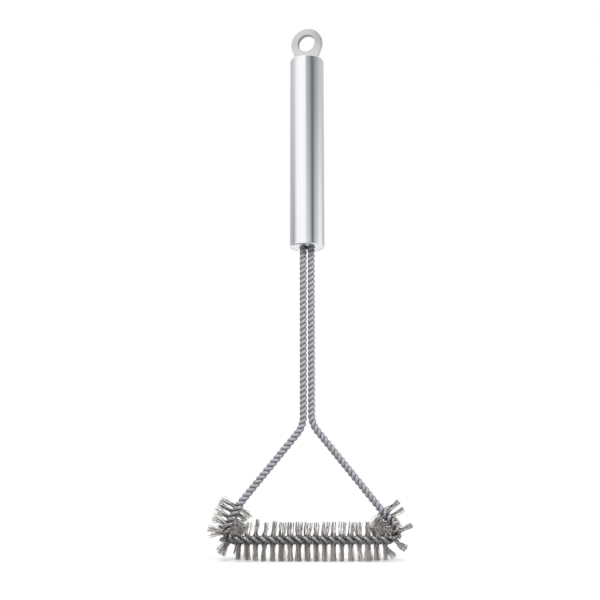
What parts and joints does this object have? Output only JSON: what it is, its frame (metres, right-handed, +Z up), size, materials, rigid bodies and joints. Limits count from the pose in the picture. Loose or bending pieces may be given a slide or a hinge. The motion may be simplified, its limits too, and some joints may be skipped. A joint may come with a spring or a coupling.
{
  "type": "grill cleaning brush",
  "caption": "Grill cleaning brush: steel tube handle with a hanging ring, two twisted wire legs spreading into a triangular frame, and a row of bristle tufts along its base and corners.",
  "frame": {"origin": "at the height of the lowest bristle tips, under the middle of the whole brush; the handle's axis stands 2 mm to the left of it", "axes": "+Z up along the handle towards the hanging ring, X along the brush head, front faces -Y, the wire frame lies in the plane y = 0"},
  "size_m": [0.1422, 0.0254, 0.3965],
  "materials": {
    "brushed_steel": "polished stainless steel tube with a fine lengthwise grain",
    "pressed_steel": "satin pressed steel",
    "matte_plate": "matte, slightly warm grey stamped plate",
    "ferrule_metal": "plain crimped metal",
    "twisted_wire": "smooth galvanised steel wire, semi-bright",
    "bristle_wire": "dull warm grey-brown fine wire bristles"
  },
  "bodies": {
    "root": {"handle_tube": "brushed_steel", "upper_end_cap": "pressed_steel", "lower_end_cap": "pressed_steel", "hanging_tab": "matte_plate", "rope_end_ferrule": "ferrule_metal", "wire_strand_a": "twisted_wire", "wire_strand_b": "twisted_wire", "bristle_tuft_base_01": "bristle_wire", "bristle_tuft_base_02": "bristle_wire", "bristle_tuft_base_03": "bristle_wire", "bristle_tuft_base_04": "bristle_wire", "bristle_tuft_base_05": "bristle_wire", "bristle_tuft_base_06": "bristle_wire", "bristle_tuft_base_07": "bristle_wire", "bristle_tuft_base_08": "bristle_wire", "bristle_tuft_base_09": "bristle_wire", "bristle_tuft_base_10": "bristle_wire", "bristle_tuft_base_11": "bristle_wire", "bristle_tuft_base_12": "bristle_wire", "bristle_tuft_base_13": "bristle_wire", "bristle_tuft_base_14": "bristle_wire", "bristle_tuft_base_15": "bristle_wire", "bristle_tuft_base_16": "bristle_wire", "bristle_tuft_base_17": "bristle_wire", "bristle_tuft_base_18": "bristle_wire", "bristle_tuft_left_01": "bristle_wire", "bristle_tuft_left_02": "bristle_wire", "bristle_tuft_left_03": "bristle_wire", "bristle_tuft_left_04": "bristle_wire", "bristle_tuft_left_05": "bristle_wire", "bristle_tuft_left_06": "bristle_wire", "bristle_tuft_right_01": "bristle_wire", "bristle_tuft_right_02": "bristle_wire", "bristle_tuft_right_03": "bristle_wire", "bristle_tuft_right_04": "bristle_wire"}
  },
  "joints": []
}
